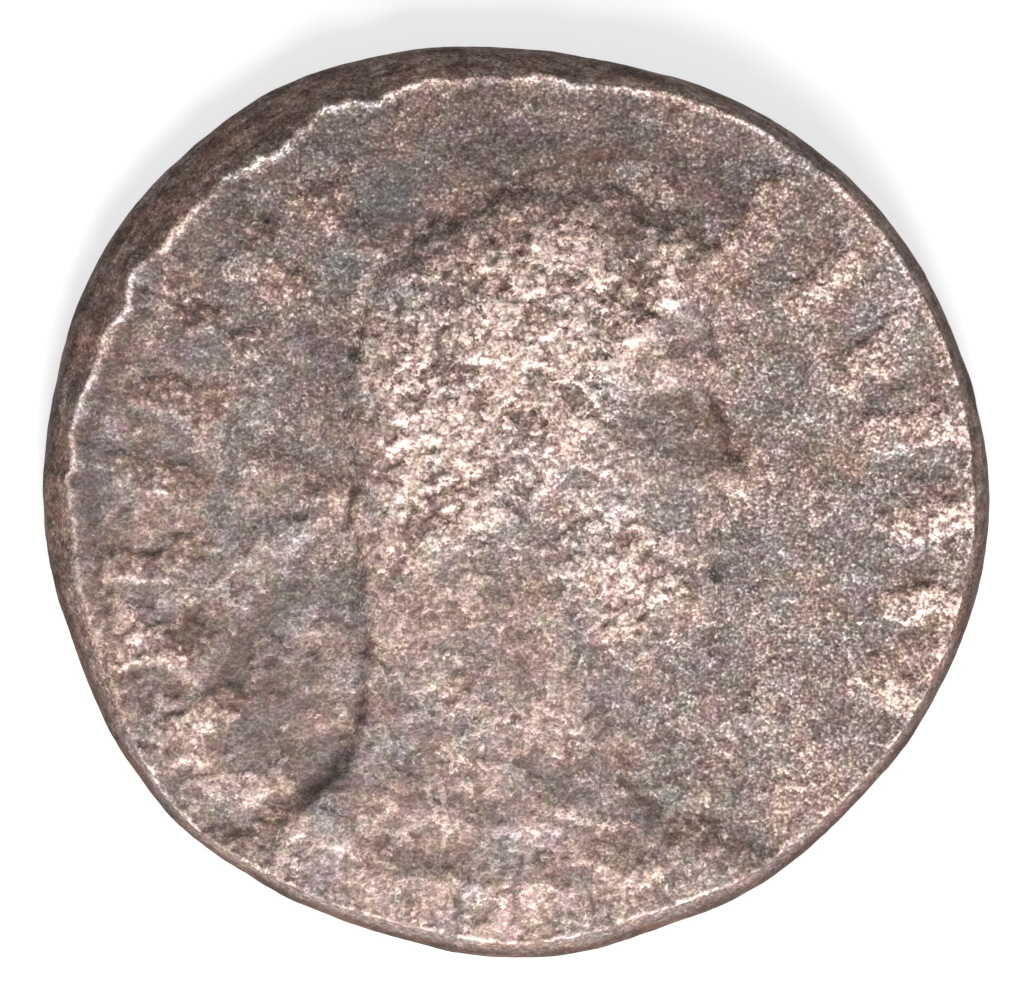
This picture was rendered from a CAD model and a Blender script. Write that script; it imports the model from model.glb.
"""The looks of a worn Roman bronze coin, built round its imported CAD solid.

The coin lies on its reverse, portrait side up. +X is its right, +Y its top and +Z up. Lengths
here are millimetres, and become metres where they reach Blender. One fine mesh stands for the
CAD solid: rings of points on the two faces and rows of points down the edge, with a height
for every point. One procedural bronze covers it, steered by maps that the points carry.
"""

import functools
import math

import bpy
import numpy as np
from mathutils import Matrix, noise


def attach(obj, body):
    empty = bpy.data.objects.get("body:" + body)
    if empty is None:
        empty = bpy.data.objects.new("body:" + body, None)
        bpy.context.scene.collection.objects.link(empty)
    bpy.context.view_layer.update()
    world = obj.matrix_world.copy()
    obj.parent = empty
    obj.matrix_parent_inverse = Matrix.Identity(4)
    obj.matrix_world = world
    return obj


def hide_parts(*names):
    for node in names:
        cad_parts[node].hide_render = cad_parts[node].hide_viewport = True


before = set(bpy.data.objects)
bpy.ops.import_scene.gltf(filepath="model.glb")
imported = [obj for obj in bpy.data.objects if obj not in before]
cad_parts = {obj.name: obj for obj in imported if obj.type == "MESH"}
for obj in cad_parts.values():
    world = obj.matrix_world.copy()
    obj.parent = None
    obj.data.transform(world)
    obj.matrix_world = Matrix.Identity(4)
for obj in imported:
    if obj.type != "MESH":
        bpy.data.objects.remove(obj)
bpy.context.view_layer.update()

MM = 0.001
TURN = 2 * math.pi

# ---- Driving dimensions that the CAD solid shares ----------------------------------------

FIELD_HEIGHT = 2.0  # the portrait side's field
REVERSE_DEPTH = 0.24  # the reverse's field above its worn relief and rim
EDGE_HEIGHT = 1.15  # the outermost line of the edge, where the sloping edge is narrow
EDGE_LOWERING = 0.45  # how far that line sinks, as a share of the sloping edge's width
REVERSE_EDGE = 0.5  # from the outermost line in to the reverse's rim

RIM_RISE = 0.32
RIM_WIDTH = 1.0  # from the crest in to the field
CREST_ROUNDING = 0.07
BUST_RISE = 0.4  # the step at the bust's outline
BUST_SHOULDER = 0.9  # the width of that step
END_SHOULDER = 2.6  # its width at the bust's two ends, which are worn into the field
WORN_HEIGHT = 0.86  # wear has taken everything higher than this
HAIR_RISE = 0.1
LEAF_RISE = 0.13
RIBBON_RISE = 0.22
STROKE_RISE = 0.17

# Bearing in degrees, radius to the outermost line, and width of the sloping edge
FLAN = [
    (0, 13.23, 0.5),
    (20, 13.1, 0.4),
    (45, 13.0, 0.4),
    (65, 12.75, 0.5),
    (83, 12.65, 0.8),
    (103, 13.0, 1.1),
    (118, 13.35, 1.3),
    (135, 13.5, 1.45),
    (153, 13.5, 1.2),
    (168, 13.25, 0.85),
    (180, 13.23, 0.85),
    (200, 13.0, 0.7),
    (222, 13.05, 0.3),
    (237, 12.8, 0.4),
    (253, 12.6, 0.45),
    (270, 12.75, 0.5),
    (288, 12.6, 0.55),
    (303, 12.7, 0.5),
    (318, 12.7, 0.4),
    (335, 12.95, 0.4),
]

DIE = (0.6, -1.2)
HEAD = (0.7, -3.2)
HEAD_HEIGHT = 11.5

# Places on the portrait, in head heights from the foot of the head: towards the face, and up
BUST = [
    (-0.9, -0.56),
    (-0.7, -0.48),
    (-0.57, -0.4),
    (-0.475, -0.3),
    (-0.445, -0.15),
    (-0.45, 0.05),
    (-0.465, 0.2),
    (-0.475, 0.35),
    (-0.48, 0.52),
    (-0.47, 0.68),
    (-0.4, 0.84),
    (-0.27, 0.97),
    (-0.1, 1.04),
    (0.1, 1.07),
    (0.27, 1.03),
    (0.4, 0.94),
    (0.45, 0.85),
    (0.435, 0.74),
    (0.44, 0.62),
    (0.425, 0.55),
    (0.46, 0.45),
    (0.505, 0.345),
    (0.485, 0.3),
    (0.445, 0.285),
    (0.46, 0.235),
    (0.44, 0.205),
    (0.45, 0.17),
    (0.43, 0.13),
    (0.445, 0.06),
    (0.4, -0.01),
    (0.33, -0.07),
    (0.28, -0.15),
    (0.25, -0.25),
    (0.24, -0.34),
    (0.28, -0.42),
    (0.38, -0.47),
    (0.56, -0.53),
    (0.8, -0.72),
    (0.3, -1.1),
    (-0.5, -1.05),
]
HAIR = [
    (0.43, 0.84),
    (0.33, 0.75),
    (0.24, 0.66),
    (0.2, 0.52),
    (0.1, 0.45),
    (0.0, 0.3),
    (-0.14, 0.2),
    (-0.3, 0.12),
    (-0.5, 0.1),
    (-0.65, 0.5),
    (-0.4, 1.1),
    (0.1, 1.25),
    (0.5, 1.05),
]
BEARD = [
    (0.17, 0.46),
    (0.2, 0.3),
    (0.28, 0.2),
    (0.36, 0.23),
    (0.5, 0.27),
    (0.55, 0.0),
    (0.3, -0.14),
    (0.1, -0.02),
    (0.05, 0.15),
    (0.08, 0.38),
]
WREATH = [
    (-0.49, 0.31),
    (-0.38, 0.48),
    (-0.24, 0.61),
    (-0.05, 0.72),
    (0.18, 0.79),
    (0.36, 0.82),
    (0.46, 0.82),
]
TIES = [
    [(-0.48, 0.31), (-0.56, 0.3), (-0.62, 0.35), (-0.7, 0.38)],
    [(-0.48, 0.3), (-0.55, 0.25), (-0.63, 0.22), (-0.71, 0.17)],
]
LEAVES = 9
LEAF_LENGTH = 1.7
LEAF_WIDTH = 0.8
LEAF_SPLAY = 28

# Middle and half-widths in head heights, and rise in millimetres
HEAD_FORMS = [
    (-0.02, 0.55, 0.4, 0.44, 0.34),  # skull
    (0.26, 0.4, 0.13, 0.12, 0.12),  # cheekbone
    (0.34, 0.6, 0.1, 0.035, 0.08),  # brow
    (0.325, 0.52, 0.06, 0.045, -0.16),  # eye socket
    (0.325, 0.515, 0.035, 0.022, 0.1),  # eyeball
    (0.45, 0.36, 0.05, 0.07, 0.1),  # nose
    (0.38, 0.4, 0.035, 0.09, -0.07),  # beside the nose
    (0.405, 0.205, 0.05, 0.01, -0.06),  # between the lips
    (0.36, 0.07, 0.11, 0.09, 0.1),  # chin
    (0.04, 0.46, 0.045, 0.085, 0.14),  # ear
    (0.045, 0.47, 0.02, 0.04, -0.12),  # inside the ear
    (0.02, 0.26, 0.06, 0.08, -0.1),  # behind the jaw
    (-0.16, -0.12, 0.2, 0.3, 0.16),  # neck
    (-0.05, -0.66, 0.75, 0.2, 0.1),  # shoulders
]
FOLDS = [
    [(-0.45, -0.34), (-0.3, -0.45), (-0.1, -0.5), (0.12, -0.46)],
    [(-0.6, -0.47), (-0.4, -0.59), (-0.12, -0.64), (0.2, -0.6), (0.42, -0.6)],
    [(-0.33, -0.46), (-0.27, -0.6), (-0.24, -0.72)],
    [(0.06, -0.64), (0.12, -0.72), (0.15, -0.8)],
]
FOLD_RISE = 0.12
FOLD_WIDTH = 0.5

# Rows of strokes: first and last bearing, radius of the row and length of a stroke
INSCRIPTION = [(207, 121, 10.7, 1.9), (56, -22, 10.8, 1.9)]
REVERSE_INSCRIPTION = [(230, 118, 10.2, 1.8), (62, -50, 10.2, 1.8)]
STROKE_PITCH = 2.2
STROKE_WIDTH = 0.55

# The reverse's figure: runs of places with a half-width at each, where up is -Y
FIGURE = {
    "robe": [(0, 4.4, 1.1), (0, 2.4, 1.3), (0.1, 0, 1.5), (0, -3.6, 1.7), (0, -7, 2.1)],
    "head": [(0, 6.9, 0.9), (0, 7.3, 0.9)],
    "arm_with_dish": [(-0.9, 4.4, 0.6), (-2.7, 2.6, 0.5), (-4.4, 2.9, 0.9)],
    "arm_with_staff": [(0.9, 4.4, 0.6), (2.7, 3.6, 0.5), (4.2, 5.2, 0.6)],
    "staff": [(4.4, 8, 0.4), (4.2, -7.4, 0.4)],
    "altar": [(-4.7, -4.4, 1.1), (-4.7, -7, 0.9)],
    "ground": [(-6.6, -8.6, 0.4), (6.6, -8.6, 0.4)],
}
FIGURE_SOFTNESS = 0.7
WEAR = 1.35
REVERSE_RIM = (0.5, 1.5)

# ---- Dimensions of the fine forms alone --------------------------------------------------

MEAN_RADIUS = 13
RIDGE_RISE = 0.13  # the thin broken line along the crest
FORM_ROUNDING = 0.1  # where the rim meets the raised forms
WORN_ROUNDING = 0.12  # where wear has cut the forms off
HAIR_EDGE = (-0.2, 0.3)  # where hair and beard begin and are full, in from their outlines
LOCK_SIZE = 1.1
NUB_SIZE = 0.7
STEM_WIDTH = 0.3
VEIN_WIDTH = 0.09
TIE_WIDTH = 0.45
STROKE_LEAN = 0.2
ROW_RADIUS = 10.8
ROW_WIDTH = 0.9

# ---- Wear and corrosion ------------------------------------------------------------------

# Darker, sunken patches of the portrait side, and lighter, crusted ones: middle, half-widths,
# and strength, which is negative for the sunken ones
PATCHES = [
    (-2.4, 7.7, 1.0, 0.9, -0.4),
    (-0.4, 7.3, 0.6, 0.7, -0.6),
    (-1.5, 6.1, 0.8, 0.4, -0.5),
    (2.8, 7.6, 0.8, 0.8, -0.5),
    (3.4, 6.2, 0.5, 1.2, -0.55),
    (2.8, 5.4, 0.7, 0.9, -0.3),
    (4.7, 2.0, 1.6, 1.2, -0.3),
    (-7.0, -4.9, 1.5, 2.2, -0.55),
    (-5.5, -7.0, 0.9, 0.9, -0.6),
    (-5.2, 4.0, 0.6, 2.2, -0.4),
    (-3.6, -9.7, 0.7, 0.9, -0.25),
    (2.9, -9.5, 0.8, 0.7, -0.3),
    (5.1, -7.3, 3.0, 0.9, -0.25),
    (0.2, -4.4, 0.5, 1.4, -0.2),
    (-10.9, -1.0, 0.5, 0.6, -0.45),
    (-8.6, -1.6, 0.9, 0.4, -0.3),
    (-9.4, -3.1, 0.6, 0.4, -0.35),
    (-9.9, -5.0, 0.5, 0.5, -0.45),
    (-9.8, -6.4, 0.4, 0.4, -0.45),
    (-7.4, 8.0, 1.0, 0.7, -0.3),
    (-9.0, 5.4, 0.6, 0.4, -0.3),
    (-6.3, 3.2, 0.5, 0.6, -0.3),
    (5.2, 8.9, 1.2, 0.9, -0.35),
    (0.7, 9.9, 2.6, 0.7, -0.3),
    (11.7, 0.8, 0.8, 0.5, -0.6),
    (11.4, -1.6, 0.8, 0.4, -0.45),
    (11.2, -3.8, 0.7, 0.4, -0.45),
    (10.8, 3.4, 0.8, 0.4, -0.45),
    (1.0, 6.7, 1.4, 1.1, 0.3),
    (4.3, 6.4, 0.5, 1.0, 0.45),
    (2.9, 3.7, 1.1, 0.9, 0.35),
    (-1.0, 5.4, 1.2, 0.8, 0.2),
    (-2.4, 2.0, 1.0, 1.2, 0.2),
    (3.4, -1.0, 1.6, 1.2, 0.12),
    (-2.4, -2.7, 1.4, 1.2, 0.15),
    (-4.6, -9.1, 0.8, 0.8, 0.25),
    (-7.4, 6.5, 0.9, 0.4, 0.35),
    (-10.1, -0.2, 0.7, 0.4, 0.35),
    (-9.8, -2.2, 0.6, 0.8, 0.35),
    (-10.9, -3.7, 0.7, 0.9, 0.4),
    (-9.0, -4.4, 0.8, 0.5, 0.4),
    (-8.9, -6.1, 0.5, 1.3, 0.4),
    (-7.8, -8.0, 0.9, 0.6, 0.35),
    (-6.0, -8.9, 1.2, 0.5, 0.3),
    (-6.8, -1.1, 1.2, 0.3, 0.25),
]
PATCH_DEPTH = 0.1
PATCH_EDGE = (0.75, 1.2)  # where a patch begins and ends to fade, in half-widths
# Spots of green and of rust on the portrait side: middle and half-widths
VERDIGRIS = [
    (-6.4, 0.3, 0.35, 0.35),
    (-4.75, 6.4, 0.4, 0.9),
    (-3.4, 8.6, 0.8, 0.8),
    (11.8, 1.2, 0.35, 0.35),
    (7.3, -2.7, 0.35, 0.25),
    (7.4, -6.1, 0.3, 0.3),
]
RUST = [
    (-1.7, 8.6, 0.8, 0.5),
    (0.7, 9.0, 0.6, 0.3),
    (5.8, 6.3, 0.25, 0.6),
    (-3.6, 7.4, 0.6, 0.4),
    (2.4, 9.6, 1.6, 0.4),
    (5.4, 2.6, 0.6, 0.8),
]

NOISE_SHIFT = 31.7  # between the noises of two seeds, as a share of their size
# Factors that scatter the spots of a jittered grid: by column, row and seed, then for x and y
SCATTER = (127.1, 311.7, 74.7)
SCATTER_X = 43758.5453
SCATTER_Y = 24634.6345

# Noises that push places about, so that forms get ragged edges: push, size and seed
FORM_PUSHES = [(0.25, 1.1, 1), (0.16, 0.35, 2)]
PATCH_PUSHES = [(0.5, 1.2, 61), (0.25, 0.5, 62)]
REVERSE_PUSHES = [(0.15, 0.9, 21)]
# Dents and nicks of the outermost line: depth, size and seed
DENTS = [(0.05, 3.0, 31), (0.02, 0.7, 32)]

LEDGE_SIZE = 1.5
LEDGE_RISE = 0.05
UPPER_LEDGE_RISE = 0.03
PIT_SIZE = 0.6
PIT_DEPTH = 0.07
GRAIN_RISE = 0.012
REVERSE_PIT_SIZE = 0.75
EDGE_LEDGE_SIZE = 1.6
EDGE_LEDGE_RISE = 0.08
EDGE_PIT_SIZE = 0.3
EDGE_PIT_DEPTH = 0.03

# How much lighter each form or region of the portrait side is than the open field
TONE_WEIGHTS = {
    "raised": 0.13,
    "hair": 0.12,
    "strokes": 0.17,
    "right_strokes": 0.2,
    "rim_band": 0.19,
    "ridge": 0.52,
    "patches": 0.3,
    "bottom": 0.03,
    "top": -0.11,
    "hollow": -0.08,
    "inner_rim": -0.24,
    "lip": 0.16,
    "crown": 0.22,
    "upper_left": -0.04,
}
# How much stronger its plates and pits are than the field's, and how much of its skin is kept
FIELD_ROUGHNESS = 0.25
ROUGH_WEIGHTS = {"bust": 0.05, "hair": 0.6, "lower_left": 0.4}
KEPT_WEIGHTS = {"strokes": 1.0, "hair": 0.5, "bust": 0.4, "rim_band": 0.4, "lower_left": 0.5}
# How much lighter the edge and its forms and regions are than the field
EDGE_TONE_WEIGHTS = {
    "edge": -0.31,
    "ledge": 0.1,
    "pocks": 0.08,
    "crest": 0.2,
    "lower_right": -0.1,
    "low": -0.16,
    "crust": 0.42,
    "outermost": -0.4,
    "low_outermost": -0.2,
}

# ---- The fine mesh and its maps ----------------------------------------------------------

# Rings of each face, and rows of the edge above and below the outermost line
OBVERSE_RINGS = 148
REVERSE_RINGS = 60
TOP_ROWS = 16
BOTTOM_ROWS = 6

# What every point of the mesh carries for the bronze:
#   tone           how much lighter or darker it is
#   ledge, pits    noises: plates stand where ledge is high, and pits lie where pits is low
#   rough          how strongly plates and pits show
#   kept, grit     how strongly kept skin and sand show
#   side           how much of it has the brown of the edge
#   across         how far in from the outermost line it is
#   green, rust    how much of those colours it has
MAPS = ("tone", "ledge", "pits", "rough", "kept", "grit", "side", "across", "green", "rust")

# ---- The bronze --------------------------------------------------------------------------

# How light plates and the skin round pits are, by their maps: dark below, lightest at the lip
PLATE_STEPS = [(0.0, 0.35), (0.34, 0.25), (0.42, 0.0), (0.44, 1.1), (0.54, 0.75), (0.9, 0.65)]
PIT_STEPS = [(-0.2, 0.2), (0.2, 0.1), (0.27, 0.0), (0.3, 1.0), (0.38, 0.8), (0.7, 0.75)]
# The tones that get the darkest and the lightest colour
TONE_RANGE = (-0.66, 1.44)
# How light the metal is, as an sRGB green, by its share of tone: for the faces and for the edge
FACE_LEVELS = [(0.0, 34), (0.286, 56), (0.5, 84), (0.607, 102), (0.729, 132), (0.857, 179), (1.0, 228)]
EDGE_LEVELS = [(0.0, 13), (0.286, 26), (0.5, 58), (0.714, 98), (1.0, 160)]
# How much more red and less blue than green each has, and two more colours, in sRGB
FACE_WARMTH = (18, 6)
EDGE_WARMTH = (28, 12)
VERDIGRIS_COLOUR = (72, 92, 92)
RUST_COLOUR = (112, 72, 48)
# Tints of the parts that are cool and of those that are warm
COOL_TINT = (0.92, 1.0, 1.05, 1)
WARM_TINT = (1.08, 1.0, 0.94, 1)

BROWN_SHARE = 0.85  # of the edge's own colour, where the side map is full
HUE_SHARE = 0.2
SPOT_SHARE = 0.35  # of a spot's colour at its middle
METALLIC = 0.25
DARK_ROUGHNESS = 0.75
LIGHT_ROUGHNESS = 0.5

# Sizes of the patina's forms
SAND_SIZE = 0.085
COBBLE_SIZE = 0.12
WEB_SIZE = 0.16
STONE_SIZE = 0.21
STREAK_SIZE = 0.25
COARSE_SIZE = 0.32
HUE_SIZE = 0.6
BROAD_SIZE = 1.8
BUMP_DEPTH = 0.06

# ---- The studio --------------------------------------------------------------------------

VIEW_WIDTH = 28.64  # what the camera takes in across the coin
VIEW_MIDDLE = (-0.056, -0.028)
LENS = 300
SENSOR = 36
KEY_LIGHT = {"azimuth": -82, "elevation": 38, "distance": 300, "size": 140, "power": 1.7}
WORLD_STRENGTH = 0.35
FLOOR_SIZE = 3000
FLOOR_GREY = 0.35
FLOOR_GLOW = 0.7

# ---- Curves and shapes in the plane ------------------------------------------------------


def smoothstep(value, low, high):
    """From 0 at low to 1 at high, with soft ends. Low may be the larger of the two."""
    t = np.clip((value - low) / (high - low), 0, 1)
    return t * t * (3 - 2 * t)


def bump(distance, width):
    """1 at no distance, and softly less over about width."""
    return np.exp(-((distance / width) ** 2))


def soft_max(a, b, rounding):
    """The larger of two heights, rounded where they meet."""
    return (a + b + np.sqrt((a - b) ** 2 + rounding**2) - rounding) / 2


def soft_min(a, b, rounding):
    return -soft_max(-a, -b, rounding)


def weighed(masks, weights):
    """The sum of the masks that weights names, each times its weight."""
    return sum(weight * masks[name] for name, weight in weights.items())


def around_flan(degrees, column):
    """A value of the FLAN table at bearings in degrees, as a smooth closed curve."""
    knots = np.array([row[0] for row in FLAN], float)
    values = np.array([row[column] for row in FLAN], float)
    knots = np.concatenate([knots[-2:] - 360, knots, knots[:3] + 360])
    values = np.concatenate([values[-2:], values, values[:3]])
    at = np.mod(degrees, 360.0)
    i = np.searchsorted(knots, at, side="right") - 1
    b0, b1, b2, b3 = (knots[i + k] for k in (-1, 0, 1, 2))
    v0, v1, v2, v3 = (values[i + k] for k in (-1, 0, 1, 2))
    t = (at - b1) / (b2 - b1)
    slope1 = (v2 - v0) / (b2 - b0) * (b2 - b1)
    slope2 = (v3 - v1) / (b3 - b1) * (b2 - b1)
    return (
        v1 * (1 + 2 * t) * (1 - t) ** 2
        + slope1 * t * (1 - t) ** 2
        + v2 * t**2 * (3 - 2 * t)
        + slope2 * t**2 * (t - 1)
    )


def on_head(places):
    """Places in head heights, as places on the coin."""
    return [(HEAD[0] + u * HEAD_HEIGHT, HEAD[1] + v * HEAD_HEIGHT) for u, v in places]


def smooth_run(places, closed=False, steps=6):
    """A Catmull-Rom curve through places, as an array of points."""
    p = np.array(places, float)
    if closed:
        p = np.concatenate([p[-1:], p, p[:2]])
    else:
        p = np.concatenate([2 * p[:1] - p[1:2], p, 2 * p[-1:] - p[-2:-1]])
    points = []
    for a, b, c, d in zip(p, p[1:], p[2:], p[3:]):
        for t in np.arange(steps) / steps:
            points.append(
                0.5
                * (2 * b + (c - a) * t + (2 * a - 5 * b + 4 * c - d) * t**2)
                + 0.5 * (3 * b - a - 3 * c + d) * t**3
            )
    points.append(p[-2])
    return np.array(points)


def nearest_on(start, end, x, y):
    """The nearest place of a segment, as its share of the way, and its squared distance."""
    dx, dy = end[0] - start[0], end[1] - start[1]
    from_x, from_y = x - start[0], y - start[1]
    share = np.clip((from_x * dx + from_y * dy) / (dx * dx + dy * dy), 0, 1)
    return share, (from_x - share * dx) ** 2 + (from_y - share * dy) ** 2


def distance_to_run(run, x, y):
    """How far points are from the nearest place of a run."""
    least = np.full(x.shape, np.inf)
    for start, end in zip(run, run[1:]):
        least = np.minimum(least, nearest_on(start, end, x, y)[1])
    return np.sqrt(least)


def depth_inside(run, x, y):
    """How far points are inside a closed run: negative outside it."""
    inside = np.zeros(x.shape, bool)
    for (ax, ay), (bx, by) in zip(run, run[1:]):
        if ay != by:
            inside ^= ((ay > y) != (by > y)) & (x < ax + (y - ay) / (by - ay) * (bx - ax))
    return distance_to_run(run, x, y) * np.where(inside, 1, -1)


# ---- Noises ------------------------------------------------------------------------------


def perlin(x, y, size, seed, z=0.0):
    """Noise from -1 to 1, with forms about size across."""
    shift = NOISE_SHIFT * seed
    depth = np.broadcast_to(z / size + 0.5 * shift, x.shape)
    points = zip(x / size + shift, y / size - shift, depth)
    return np.array([noise.noise(point) for point in points])


def fractal(x, y, size, seed, octaves=4):
    """Noise from about -1 to 1, with forms of size and ever smaller ones on them."""
    total = np.zeros(x.shape)
    for octave in range(octaves):
        total += perlin(x, y, size / 2**octave, seed + octave) * 0.6**octave
    return total


def pushed_about(x, y, noises):
    """Places moved by noises, each given as push, size and seed."""
    moved_x, moved_y = x, y
    for push, size, seed in noises:
        moved_x = moved_x + push * perlin(x, y, size, seed)
        moved_y = moved_y + push * perlin(x, y, size, seed + len(noises))
    return moved_x, moved_y


def terraces(value, steps):
    """Turns slopes into flat plates with steep ragged edges."""
    level = np.floor(value * steps)
    share = value * steps - level
    return (level + smoothstep(share, 0.4, 0.6)) / steps


def scattered(spin, factor):
    """A fixed number from -0.4 to 0.4 for each spin, with no visible order."""
    return 0.8 * (np.mod(np.sin(spin) * factor, 1) - 0.5)


def cells(x, y, size, seed):
    """The nearest spot of a jittered grid: its distance, its bearing, and how much further
    the next one is."""
    u, v = x / size, y / size
    near = np.full(x.shape, np.inf)
    following = np.full(x.shape, np.inf)
    bearing = np.zeros(x.shape)
    for di in (-1, 0, 1):
        for dj in (-1, 0, 1):
            i, j = np.floor(u) + di, np.floor(v) + dj
            spin = i * SCATTER[0] + j * SCATTER[1] + seed * SCATTER[2]
            off_x = u - (i + 0.5 + scattered(spin, SCATTER_X))
            off_y = v - (j + 0.5 + scattered(spin + 1.7, SCATTER_Y))
            away = np.hypot(off_x, off_y)
            closer = away < near
            following = np.where(closer, near, np.minimum(following, away))
            bearing = np.where(closer, np.arctan2(off_y, off_x), bearing)
            near = np.where(closer, away, near)
    return near * size, bearing, (following - near) * size


# ---- The portrait side's forms -----------------------------------------------------------


def leaf_rise(x, y):
    """The wreath's leaves, in pairs that splay forward from its stem."""
    stem = smooth_run(on_head(WREATH), steps=12)
    most = 0.6 * bump(distance_to_run(stem, x, y), STEM_WIDTH)
    for pair in range(LEAVES):
        at = round((pair + 0.5) / LEAVES * (len(stem) - 2))
        ahead = stem[at + 1] - stem[at]
        for side in (-1, 1):
            heading = math.atan2(ahead[1], ahead[0]) + side * math.radians(LEAF_SPLAY)
            cos, sin = math.cos(heading), math.sin(heading)
            dx = x - stem[at][0] - LEAF_LENGTH / 2 * cos
            dy = y - stem[at][1] - LEAF_LENGTH / 2 * sin
            along, across = dx * cos + dy * sin, dy * cos - dx * sin
            leaf = bump(np.hypot(along / LEAF_LENGTH, across / LEAF_WIDTH), 0.5)
            vein = 1 - 0.35 * bump(across, VEIN_WIDTH)
            most = np.maximum(most, leaf * vein)
    return LEAF_RISE * most


def stroke_rise(rows, middle, x, y):
    """An inscription's worn strokes, each across its row and leaning a little."""
    most = np.zeros(x.shape)
    for first, last, radius, length in rows:
        count = int(math.radians(first - last) * radius / STROKE_PITCH)
        for i in range(count + 1):
            bearing = math.radians(first + (last - first) * i / count)
            lean = STROKE_LEAN * math.sin(2.4 * i)
            ends = []
            for out in (-length / 2, length / 2):
                turn = bearing - lean * out / radius
                away = radius + out
                ends.append((middle[0] + away * math.cos(turn), middle[1] + away * math.sin(turn)))
            most = np.maximum(most, bump(distance_to_run(ends, x, y), STROKE_WIDTH))
    return most


def curls(x, y, size, seed):
    """Snail curls, each a small spiral round its own middle, with creases between them."""
    near, bearing, gap = cells(x, y, size, seed)
    spiral = np.cos(TURN * near / (0.62 * size) - bearing)
    crease = 1 - smoothstep(gap, 0, 0.3 * size)
    return spiral * smoothstep(gap, 0, 0.35 * size) - 0.8 * crease


def hair_rise(x, y, wx, wy, hair, beard):
    """The worn curls of the hair and the nubs of the beard."""
    clear = 0.4 + perlin(x, y, 2.0, 5)
    lumps = 0.5 * fractal(x, y, 0.9, 50, 3)
    locks = 0.8 + 0.6 * clear * curls(wx, wy, LOCK_SIZE, 5) + lumps
    nubs = 0.8 + 0.6 * curls(wx, wy, NUB_SIZE, 6) + lumps
    return HAIR_RISE * np.maximum(hair * locks, 0.6 * beard * nubs)


def head_rise(x, y):
    """The broad forms of the head, neck and shoulders."""
    rise = np.zeros(x.shape)
    for u, v, half_u, half_v, height in HEAD_FORMS:
        ((cx, cy),) = on_head([(u, v)])
        away = np.hypot((x - cx) / half_u, (y - cy) / half_v) / HEAD_HEIGHT
        rise = rise + height * bump(away, 1)
    return rise


def fold_rise(x, y):
    """The folds of the bust's dress."""
    rise = np.zeros(x.shape)
    for fold in FOLDS:
        rise = rise + FOLD_RISE * bump(distance_to_run(smooth_run(on_head(fold)), x, y), FOLD_WIDTH)
    return rise


def tie_map(x, y):
    """Where the wreath's ties are."""
    most = np.zeros(x.shape)
    for tie in TIES:
        most = np.maximum(most, bump(distance_to_run(smooth_run(on_head(tie)), x, y), TIE_WIDTH))
    return most


def ridge_map(x, y, inward):
    """Where the thin line along the crest stands: broken, and weaker at the lower right."""
    ridge = smoothstep(inward + 0.1 * fractal(x, y, 0.5, 57, 3), 0.18, 0.07)
    ridge = ridge * np.clip(0.75 + perlin(x, y, 1.3, 58), 0.1, 1.1)
    return ridge * (0.4 + 0.6 * smoothstep(y, -6, 3)) * (0.6 + 0.4 * smoothstep(y - x, -6, 4))


def obverse_relief(x, y, inward):
    """Height above the field, depth inside the bust, and maps of hair, strokes and ridge."""
    wx, wy = pushed_about(x, y, FORM_PUSHES)
    depth = depth_inside(smooth_run(on_head(BUST), closed=True), wx, wy)
    ends = np.maximum(smoothstep(x - y, 8.5, 12), smoothstep(-x, 5.0, 6.8))
    shoulder = BUST_SHOULDER + (END_SHOULDER - BUST_SHOULDER) * ends
    crown_shoulder = shoulder * (0.5 + 0.6 * smoothstep(y, 4, 8))
    within = smoothstep(depth, 0, 2 * shoulder)
    hair = smoothstep(depth_inside(smooth_run(on_head(HAIR), closed=True), wx, wy), *HAIR_EDGE)
    beard = smoothstep(depth_inside(smooth_run(on_head(BEARD), closed=True), wx, wy), *HAIR_EDGE)
    inner_forms = head_rise(x, y) + hair_rise(x, y, wx, wy, hair, beard) + fold_rise(wx, wy)
    bust = BUST_RISE * smoothstep(depth, -0.1, crown_shoulder) + within * inner_forms + leaf_rise(wx, wy)
    ties = tie_map(wx, wy)
    strokes = stroke_rise(INSCRIPTION, DIE, wx, wy)
    strokes = smoothstep(strokes + 0.4 * fractal(x, y, 0.9, 54, 3), 0.2, 0.8)
    raised = np.maximum(bust, np.maximum(0.7 * RIBBON_RISE * ties, 0.6 * STROKE_RISE * strokes))
    ridge = ridge_map(x, y, inward)
    rim = (RIM_RISE - CREST_ROUNDING - RIDGE_RISE) * (1 - smoothstep(inward, 0, RIM_WIDTH))
    return {
        "height": soft_max(rim, raised, FORM_ROUNDING) + RIDGE_RISE * ridge,
        "depth": depth,
        "hair": np.maximum(hair, 0.65 * beard) * within,
        "strokes": np.maximum(strokes, 0.5 * ties),
        "ridge": ridge,
    }


# ---- The portrait side's wear ------------------------------------------------------------


def spots(places, x, y):
    """Soft spots at places: the most of them at each point."""
    most = np.zeros(x.shape)
    for cx, cy, half_x, half_y in places:
        most = np.maximum(most, bump(np.hypot((x - cx) / half_x, (y - cy) / half_y), 1))
    return most


def patch_map(x, y):
    """The sum of the sunken and the crusted patches."""
    total = np.zeros(x.shape)
    for cx, cy, half_x, half_y, strength in PATCHES:
        away = np.hypot((x - cx) / half_x, (y - cy) / half_y)
        total = total + strength * (1 - smoothstep(away, *PATCH_EDGE))
    return total


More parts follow.
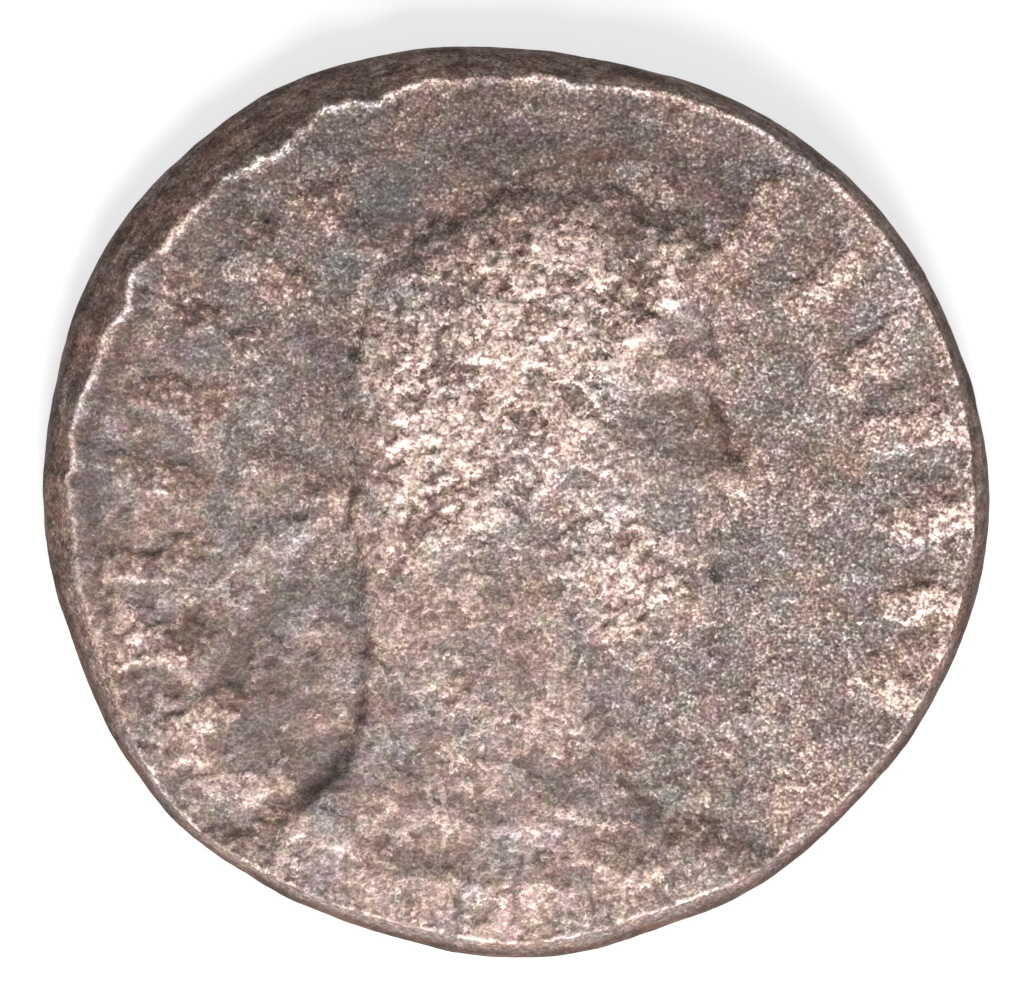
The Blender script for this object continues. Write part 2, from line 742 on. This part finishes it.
def obverse_masks(x, y, inward, relief):
    """Where the portrait side's forms and regions are, each from 0 to about 1."""
    outside = -relief["depth"]
    upper = smoothstep(y, 2.5, 6.5)
    broken = smoothstep(fractal(x, y, 1.3, 58, 3), -0.5, 0.2)
    right = smoothstep(x, -4, 6)
    lower_right = smoothstep(x - y, 0, 10)
    bottom = smoothstep(-y, 3, 8)
    return {
        "bust": smoothstep(relief["depth"], 0, 0.5),
        "raised": smoothstep(relief["height"], 0.1, 0.5),
        "hair": relief["hair"],
        "strokes": relief["strokes"],
        "right": right,
        "right_strokes": right * relief["strokes"],
        "ridge": relief["ridge"],
        "rim_band": (1 - smoothstep(inward, 0.5, 1.8)) * np.maximum(lower_right, 0.9 * bottom),
        "inner_rim": bump(inward - 0.55, 0.28) * smoothstep(y - x, 2, 9),
        "top": smoothstep(y, 5, 10),
        "bottom": bottom,
        "lower_left": bump(np.hypot(x + 10.5, y + 4.5), 3.0),
        "upper_left": smoothstep(y - x, 8, 14),
        "hollow": bump(outside - 1.0, 0.9) * upper,
        "crown": bump(outside + 0.2, 0.45) * upper,
        "crown_line": bump(outside + 0.1, 0.3) * upper * broken,
        "lip": bump(outside + 0.12, 0.14) * smoothstep(y - 1.2 * x, 1, 5) * broken,
    }


def ledge_map(x, y, masks):
    """Noise that is high where plates stand: on strokes, crusted patches and the bust."""
    strokes = masks["strokes"]
    row = bump(np.hypot(x - DIE[0], y - DIE[1]) - ROW_RADIUS, ROW_WIDTH)
    on_row = strokes * (0.8 + 0.3 * masks["right"]) - 0.45 + 0.3 * smoothstep(y, 6, 9)
    ledge = fractal(x, y, LEDGE_SIZE, 12) * (1 - 0.4 * row) + 0.12 * masks["bust"]
    return ledge + row * on_row + 0.3 * strokes * (1 - row) + 0.7 * masks["patches"]


def corroded_rise(x, y, ledge, pits, rough):
    """Plates in two steps, pits between them, and a fine grain."""
    plates = LEDGE_RISE * smoothstep(ledge, -0.05, 0.05)
    plates = plates + UPPER_LEDGE_RISE * smoothstep(ledge, 0.28, 0.38)
    holes = PIT_DEPTH * rough * smoothstep(pits, -0.08, -0.18)
    return plates * (0.4 + 0.6 * rough) - holes + GRAIN_RISE * perlin(x, y, 0.27, 9)


def field_swell(x, y):
    """The field's long, low waves."""
    return 0.04 * np.sin(0.35 * x + 1) * np.cos(0.3 * y) + 0.03 * np.sin(2 * np.arctan2(y, x))


def obverse(x, y, inward):
    """The portrait side's heights and maps."""
    relief = obverse_relief(x, y, inward)
    wx, wy = pushed_about(x, y, PATCH_PUSHES)
    masks = obverse_masks(x, y, inward, relief)
    masks["patches"] = patch_map(wx, wy)
    ledge = ledge_map(x, y, masks)
    pits = fractal(x, y, PIT_SIZE, 70, 3)
    rough = FIELD_ROUGHNESS + weighed(masks, ROUGH_WEIGHTS)
    rise = relief["height"] + corroded_rise(x, y, ledge, pits, rough) + PATCH_DEPTH * masks["patches"]
    worn = soft_min(rise, WORN_HEIGHT, WORN_ROUNDING)
    return {
        "height": FIELD_HEIGHT + field_swell(x, y) + worn,
        "tone": weighed(masks, TONE_WEIGHTS),
        "ledge": ledge,
        "pits": pits,
        "rough": rough,
        "kept": np.clip(weighed(masks, KEPT_WEIGHTS), 0, 1),
        "grit": (0.4 + 0.8 * smoothstep(x + y, -14, 5)) * (1 - 0.3 * masks["bust"]),
        "green": spots(VERDIGRIS, wx, wy),
        "rust": np.maximum(spots(RUST, wx, wy), 0.9 * masks["crown_line"]),
    }


# ---- The reverse -------------------------------------------------------------------------


def figure_rise(x, y):
    """The standing figure, its altar and ground: 0 off it, and 1 or more where it is worn flat."""
    least = np.full(x.shape, np.inf)
    for run in FIGURE.values():
        for (*start, start_width), (*end, end_width) in zip(run, run[1:]):
            share, squared = nearest_on(start, end, x, y)
            width = start_width + (end_width - start_width) * share
            least = np.minimum(least, np.sqrt(squared) - width)
    return WEAR * (1 - smoothstep(least, -FIGURE_SOFTNESS / 2, FIGURE_SOFTNESS))


def reverse(x, y, inward):
    """The reverse's heights above the surface it lies on, and its maps."""
    wx, wy = pushed_about(x, y, REVERSE_PUSHES)
    rim = WEAR * (1 - smoothstep(inward, *REVERSE_RIM))
    strokes = stroke_rise(REVERSE_INSCRIPTION, (0, 0), wx, wy)
    raised = np.maximum(np.maximum(rim, figure_rise(wx, -wy)), 0.7 * strokes)
    flat = np.clip(raised, 0, 1)
    fine = 0.03 * perlin(x, y, 1.1, 23) + 0.025 * perlin(x, y, 0.5, 24)
    return {
        "height": REVERSE_DEPTH * np.maximum(0, 1 - raised) + np.abs(fine),
        "tone": 0.25 * flat - 0.1,
        "ledge": fractal(x, y, LEDGE_SIZE, 26) + 0.5 * flat - 0.2,
        "pits": fractal(x, y, REVERSE_PIT_SIZE, 90),
        "rough": FIELD_ROUGHNESS,
        "kept": 0.6 * flat,
        "grit": 0.9,
    }


FACES = {"obverse": obverse, "reverse": reverse}


# ---- The edge ----------------------------------------------------------------------------


def outline(bearing):
    """The radii of the outermost line and of the portrait side's crest."""
    degrees = np.degrees(bearing)
    x, y = MEAN_RADIUS * np.cos(bearing), MEAN_RADIUS * np.sin(bearing)
    outer = around_flan(degrees, 1)
    edge = around_flan(degrees, 2)
    for depth, size, seed in DENTS:
        outer = outer + depth * perlin(x, y, size, seed)
    jags = 0.5 * fractal(x, y, 1.6, 33, 3)
    steps = terraces(perlin(x, y, 2.4, 37) + 0.3 * jags, 3)
    return outer, outer - edge + (0.4 * jags + 0.25 * steps) * np.minimum(edge, 1) ** 2


def edge_looks(x, y, across, share, ledge, pocks):
    """The edge's maps: dark along the outermost line, brown, and crusted at the lower crest."""
    low = smoothstep(-y, 0, 7)
    crust = low * smoothstep(share + 0.15 * ledge, 0.35, 0.85)
    crest = share**8
    outermost = bump(across, 0.28 - 0.06 * low)
    rust = 0.9 * low * (1 - crust) * smoothstep(ledge + 0.8 * pocks, -0.25, 0.25)
    masks = {
        "edge": 1.0,
        "ledge": ledge,
        "pocks": pocks,
        "crest": crest,
        "lower_right": smoothstep(x - y, 0, 10),
        "low": low,
        "crust": crust,
        "outermost": outermost,
        "low_outermost": low * outermost,
    }
    return {
        "tone": weighed(masks, EDGE_TONE_WEIGHTS),
        "ledge": ledge,
        "pits": pocks,
        "rough": 0.2,
        "kept": 0.3,
        "grit": 0.8,
        "side": 1 - np.maximum(0.6 * crest, 0.8 * crust),
        "across": across,
        "rust": np.maximum(0.5 * smoothstep(ledge, 0.1, 0.4), rust),
    }


def edge_row(side, share, count):
    """A row of the edge, share of the way from the outermost line to the crest of a side."""
    bearing = TURN * np.arange(count) / count
    cos, sin = np.cos(bearing), np.sin(bearing)
    outer, crest = outline(bearing)
    outermost = EDGE_HEIGHT - EDGE_LOWERING * (outer - crest)
    if side == "reverse":
        crest = outer - REVERSE_EDGE
    face = FACES[side]
    level = face(crest * cos, crest * sin, np.zeros(count))["height"]
    across = (outer - crest) * (1 - math.cos(share * math.pi / 2))
    radius = outer - across
    height = outermost + (level - outermost) * share
    x, y = radius * cos, radius * sin
    ledge = perlin(x, y, EDGE_LEDGE_SIZE, 41, z=6 * across)
    pocks = perlin(x, y, EDGE_PIT_SIZE, 42, z=height)
    taper = math.sin(share * math.pi) if share > 0 else 0.4
    inset = taper * (EDGE_LEDGE_RISE * ledge + EDGE_PIT_DEPTH * pocks)
    looks = edge_looks(x, y, across, share, ledge, pocks)
    return {"x": x - inset * cos, "y": y - inset * sin, "height": height, **looks}


def edge_rows():
    """The rows between the faces' crests, from the top down, with ever fewer points."""
    top_count, bottom_count = 6 * OBVERSE_RINGS, 6 * REVERSE_RINGS
    rows = [edge_row("obverse", k / TOP_ROWS, top_count) for k in range(TOP_ROWS - 1, -1, -1)]
    for k in range(1, BOTTOM_ROWS):
        share = k / BOTTOM_ROWS
        rows.append(edge_row("reverse", share, round(top_count + (bottom_count - top_count) * share)))
    return rows


# ---- The mesh ----------------------------------------------------------------------------


def face_ring(side, index):
    """The places of one ring of a face, and how far in from its crest they are."""
    count = max(1, 6 * index)
    bearing = TURN * np.arange(count) / count
    outer, crest = outline(bearing)
    rings = OBVERSE_RINGS
    if side == "reverse":
        crest, rings = outer - REVERSE_EDGE, REVERSE_RINGS
    radius = crest * index / rings
    return radius * np.cos(bearing), radius * np.sin(bearing), crest - radius


def face_rings(side, indices):
    """Rings of one face, in one dict, and how many points each ring has."""
    rings = [face_ring(side, index) for index in indices]
    x, y, inward = (np.concatenate(values) for values in zip(*rings))
    return [len(ring[0]) for ring in rings], {"x": x, "y": y, **FACES[side](x, y, inward)}


def zip_rings(counts):
    """Triangles between each ring and the next, which face outwards."""
    faces = []
    inner = 0
    for before, after in zip(counts, counts[1:]):
        outer = inner + before
        # A ring that is a single point takes no steps
        inner_steps, outer_steps = (count if count > 1 else 0 for count in (before, after))
        i = j = 0
        while i < inner_steps or j < outer_steps:
            a, b = inner + i % before, outer + j % after
            if (i + 1) * outer_steps <= (j + 1) * inner_steps:
                i += 1
                faces.append((a, b, inner + i % before))
            else:
                j += 1
                faces.append((a, b, outer + j % after))
        inner = outer
    return faces


def make_coin(material):
    """The coin, ring by ring from the middle of one face over the edge to that of the other."""
    top_counts, top = face_rings("obverse", range(OBVERSE_RINGS + 1))
    edge = edge_rows()
    edge_counts = [len(row["x"]) for row in edge]
    under_counts, under = face_rings("reverse", range(REVERSE_RINGS, -1, -1))
    parts = [top, *edge, under]
    maps = {}
    for key in ("x", "y", "height", *MAPS):
        # A part that leaves a map out has zeros there
        values = [np.broadcast_to(part.get(key, 0.0), part["x"].shape) for part in parts]
        maps[key] = np.concatenate(values)
    mesh = bpy.data.meshes.new("coin_relief")
    points = np.stack([maps["x"], maps["y"], maps["height"]], axis=1) * MM
    mesh.from_pydata(points.tolist(), [], zip_rings(top_counts + edge_counts + under_counts))
    mesh.polygons.foreach_set("use_smooth", [True] * len(mesh.polygons))
    for key in MAPS:
        layer = mesh.attributes.new(key, "FLOAT", "POINT")
        layer.data.foreach_set("value", maps[key].astype(np.float32))
    mesh.materials.append(material)
    mesh.update()
    coin = bpy.data.objects.new("coin_relief", mesh)
    bpy.context.scene.collection.objects.link(coin)
    return coin


# ---- Materials ---------------------------------------------------------------------------


class Graph:
    """A small helper that adds and links shader nodes."""

    def __init__(self, name):
        self.material = bpy.data.materials.new(name)
        self.material.use_nodes = True
        self.tree = self.material.node_tree
        self.shader = self.tree.nodes["Principled BSDF"]

    def node(self, kind, inputs=(), **settings):
        made = self.tree.nodes.new(kind)
        for key, value in settings.items():
            setattr(made, key, value)
        for key, value in dict(inputs).items():
            self.link(value, made.inputs[key])
        return made

    def link(self, value, socket):
        if isinstance(value, bpy.types.NodeSocket):
            self.tree.links.new(value, socket)
        else:
            socket.default_value = value

    def math(self, operation, a, b=0.0):
        return self.node("ShaderNodeMath", {0: a, 1: b}, operation=operation).outputs[0]

    def times(self, a, b):
        return self.math("MULTIPLY", a, b)

    def vector(self, operation, a, b):
        return self.node("ShaderNodeVectorMath", {0: a, 1: b}, operation=operation).outputs[0]

    def total(self, *terms):
        """The sum of values, each times its weight."""
        products = [value if weight == 1 else self.times(value, weight) for value, weight in terms]
        return functools.reduce(lambda a, b: self.math("ADD", a, b), products)

    def spread(self, value, low, high, to_low=0.0, to_high=1.0):
        """Maps low..high to to_low..to_high, held at the ends."""
        inputs = {"Value": value, "From Min": low, "From Max": high}
        inputs.update({"To Min": to_low, "To Max": to_high})
        return self.node("ShaderNodeMapRange", inputs).outputs[0]

    def line_at(self, value, middle, width, depth):
        """Depth where value is at its middle, and 0 from width off it."""
        off = self.math("ABSOLUTE", self.math("SUBTRACT", value, middle))
        return self.spread(off, 0, width, depth, 0)

    def ramp(self, share, stops):
        """Colours by share, from pairs of share and colour."""
        made = self.node("ShaderNodeValToRGB", {0: share})
        elements = made.color_ramp.elements
        while len(elements) < len(stops):
            elements.new(1.0)
        for element, (at, paint) in zip(elements, stops):
            element.position = at
            element.color = paint
        return made.outputs[0]

    def steps(self, value, stops):
        """Turns a value into a profile, given as pairs of value and level."""
        least, most = stops[0][0], stops[-1][0]
        greys = [((at - least) / (most - least), (level, level, level, 1)) for at, level in stops]
        return self.ramp(self.spread(value, least, most), greys)

    def noise(self, coords, size, detail=0.0, roughness=0.5):
        """Noise with forms about size millimetres across."""
        inputs = {"Vector": coords, "Scale": 1 / size, "Detail": detail, "Roughness": roughness}
        return self.node("ShaderNodeTexNoise", inputs).outputs

    def cobbles(self, coords, size):
        """Grains about size millimetres across: how far off its middle, and each one's own value."""
        grains = self.node("ShaderNodeTexVoronoi", {"Vector": coords, "Scale": 1 / size})
        own = self.node("ShaderNodeSeparateColor", {0: grains.outputs["Color"]}).outputs[0]
        return grains.outputs["Distance"], own

    def mix(self, share, a, b, blend="MIX"):
        made = self.node("ShaderNodeMix", data_type="RGBA", blend_type=blend)
        self.link(share, made.inputs[0])
        self.link(a, made.inputs[6])
        self.link(b, made.inputs[7])
        return made.outputs[2]

    def attribute(self, name):
        return self.node("ShaderNodeAttribute", attribute_name=name).outputs["Fac"]


def colour(red, green, blue):
    """An sRGB colour of 0 to 255, as linear RGBA."""
    parts = [c / 255 for c in (red, green, blue)]
    linear = [c / 12.92 if c <= 0.04045 else ((c + 0.055) / 1.055) ** 2.4 for c in parts]
    return (*linear, 1.0)


def metal_ramp(g, light, levels, warmth):
    """A metal's colour by its light, with as much more red and less blue as warmth says."""
    more_red, less_blue = warmth
    stops = [(at, colour(level + more_red, level, level - less_blue)) for at, level in levels]
    return g.ramp(light, stops)


def edge_streaks(g, coords, maps):
    """Streaks and dark cracks along the edge."""
    lift = g.node("ShaderNodeCombineXYZ", {"Z": maps["across"]}).outputs[0]
    along = g.vector("ADD", g.vector("MULTIPLY", coords, (0.22, 0.22, 0)), lift)
    streak = g.noise(along, STREAK_SIZE, detail=2, roughness=0.65)[0]
    crack = g.line_at(streak, 0.47, 0.012, -0.25)
    return g.times(g.total((g.spread(streak, 0, 1, -0.3, 1.3), 1), (crack, 1)), maps["side"])


def fine_skin(g, coords, sand, coarse, maps):
    """Sand, small stones, coarse mottling and a web of light lines."""
    bent = g.vector("ADD", coords, g.vector("MULTIPLY", sand[1], (0.1, 0.1, 0.1)))
    cobble, cobble_own = g.cobbles(bent, COBBLE_SIZE)
    stone, stone_own = g.cobbles(bent, STONE_SIZE)
    grains = g.total((sand[0], 0.9), (cobble, -0.5), (cobble_own, 0.25))
    grains = g.times(g.math("SUBTRACT", grains, 0.35), maps["grit"])
    stones = g.times(g.total((stone, -0.75), (stone_own, 0.25)), maps["kept"])
    web = g.line_at(g.noise(coords, WEB_SIZE, detail=1)[0], 0.5, 0.09, 0.25)
    return g.total((grains, 1), (stones, 1), (coarse, 0.6), (web, 1))


def make_bronze():
    """Bronze with worn plates and pits in its patina, brown and streaked on the edge."""
    g = Graph("worn_bronze")
    objects = g.node("ShaderNodeTexCoord").outputs["Object"]
    coords = g.vector("MULTIPLY", objects, (1 / MM, 1 / MM, 1 / MM))
    maps = {name: g.attribute(name) for name in MAPS}
    rough, side = maps["rough"], maps["side"]

    sand = g.noise(coords, SAND_SIZE)
    coarse = g.noise(coords, COARSE_SIZE, detail=2, roughness=0.65)[0]
    broad = g.noise(coords, BROAD_SIZE, detail=1, roughness=0.6)[0]
    ragged = g.total((sand[0], 0.25), (coarse, 0.6))
    plate = g.steps(g.total((maps["ledge"], 1), (ragged, 1)), PLATE_STEPS)
    pit = g.steps(g.total((maps["pits"], 1), (ragged, 1)), PIT_STEPS)
    plates = g.times(plate, g.spread(rough, 0, 1, 0.24, 0.34))
    holes = g.times(pit, g.spread(rough, 0.2, 1, 0.18, 0.46))
    worn = g.times(g.math("ADD", plates, holes), g.spread(side, 0, 1, 1, 0.4))
    skin = fine_skin(g, coords, sand, coarse, maps)
    streak = edge_streaks(g, coords, maps)
    tone = g.total((maps["tone"], 1), (skin, 1), (worn, 1), (broad, 0.25), (streak, 1))
    light = g.spread(tone, *TONE_RANGE)

    face_metal = metal_ramp(g, light, FACE_LEVELS, FACE_WARMTH)
    edge_metal = metal_ramp(g, light, EDGE_LEVELS, EDGE_WARMTH)
    metal = g.mix(g.times(side, BROWN_SHARE), face_metal, edge_metal)
    hue = g.noise(coords, HUE_SIZE, detail=1, roughness=0.7)[1]
    metal = g.mix(HUE_SHARE, metal, hue, "SOFT_LIGHT")
    warmth = g.total((broad, 1), (maps["kept"], 0.15), (plate, 0.08), (maps["tone"], 0.2))
    tint = g.mix(g.spread(warmth, 0.42, 0.72), COOL_TINT, WARM_TINT)
    metal = g.mix(1.0, metal, tint, "MULTIPLY")
    metal = g.mix(g.times(maps["green"], SPOT_SHARE), metal, colour(*VERDIGRIS_COLOUR))
    metal = g.mix(g.times(maps["rust"], SPOT_SHARE), metal, colour(*RUST_COLOUR))

    dents = {"Strength": 1.0, "Distance": BUMP_DEPTH * MM, "Height": coarse}
    g.link(metal, g.shader.inputs["Base Color"])
    g.link(g.node("ShaderNodeBump", dents).outputs[0], g.shader.inputs["Normal"])
    roughness = g.spread(light, 0.28, 1, DARK_ROUGHNESS, LIGHT_ROUGHNESS)
    g.link(roughness, g.shader.inputs["Roughness"])
    g.shader.inputs["Metallic"].default_value = METALLIC
    return g.material


def make_floor_material():
    g = Graph("pale_floor")
    g.shader.inputs["Base Color"].default_value = (FLOOR_GREY, FLOOR_GREY, FLOOR_GREY, 1)
    g.shader.inputs["Roughness"].default_value = 0.9
    g.shader.inputs["Emission Color"].default_value = (1, 1, 1, 1)
    g.shader.inputs["Emission Strength"].default_value = FLOOR_GLOW
    return g.material


# ---- Scene -------------------------------------------------------------------------------


def add_camera():
    data = bpy.data.cameras.new("camera")
    data.lens = LENS
    data.sensor_width = SENSOR
    camera = bpy.data.objects.new("camera", data)
    height = FIELD_HEIGHT + VIEW_WIDTH * LENS / SENSOR
    camera.location = (VIEW_MIDDLE[0] * MM, VIEW_MIDDLE[1] * MM, height * MM)
    bpy.context.scene.collection.objects.link(camera)
    bpy.context.scene.camera = camera


def add_light(name, azimuth, elevation, distance, size, power):
    """An area light that faces the coin, at a compass azimuth from +X, in degrees and mm."""
    data = bpy.data.lights.new(name, "AREA")
    data.shape = "SQUARE"
    data.size = size * MM
    data.energy = power
    lamp = bpy.data.objects.new(name, data)
    a, e = math.radians(azimuth), math.radians(elevation)
    direction = np.array([math.cos(a) * math.cos(e), math.sin(a) * math.cos(e), math.sin(e)])
    lamp.location = (direction * distance * MM).tolist()
    lamp.rotation_euler = (math.pi / 2 - e, 0, a + math.pi / 2)
    bpy.context.scene.collection.objects.link(lamp)


def add_floor():
    bpy.ops.mesh.primitive_plane_add(size=FLOOR_SIZE * MM)
    floor = bpy.context.active_object
    floor.name = "floor"
    floor.data.materials.append(make_floor_material())


def set_world(strength):
    world = bpy.data.worlds.new("studio")
    world.use_nodes = True
    background = world.node_tree.nodes["Background"]
    background.inputs["Color"].default_value = (1, 1, 1, 1)
    background.inputs["Strength"].default_value = strength
    bpy.context.scene.world = world


add_camera()
add_floor()
set_world(WORLD_STRENGTH)
add_light("key", **KEY_LIGHT)
bpy.context.scene.view_settings.view_transform = "Standard"

coin = make_coin(make_bronze())
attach(coin, "root")
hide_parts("coin")
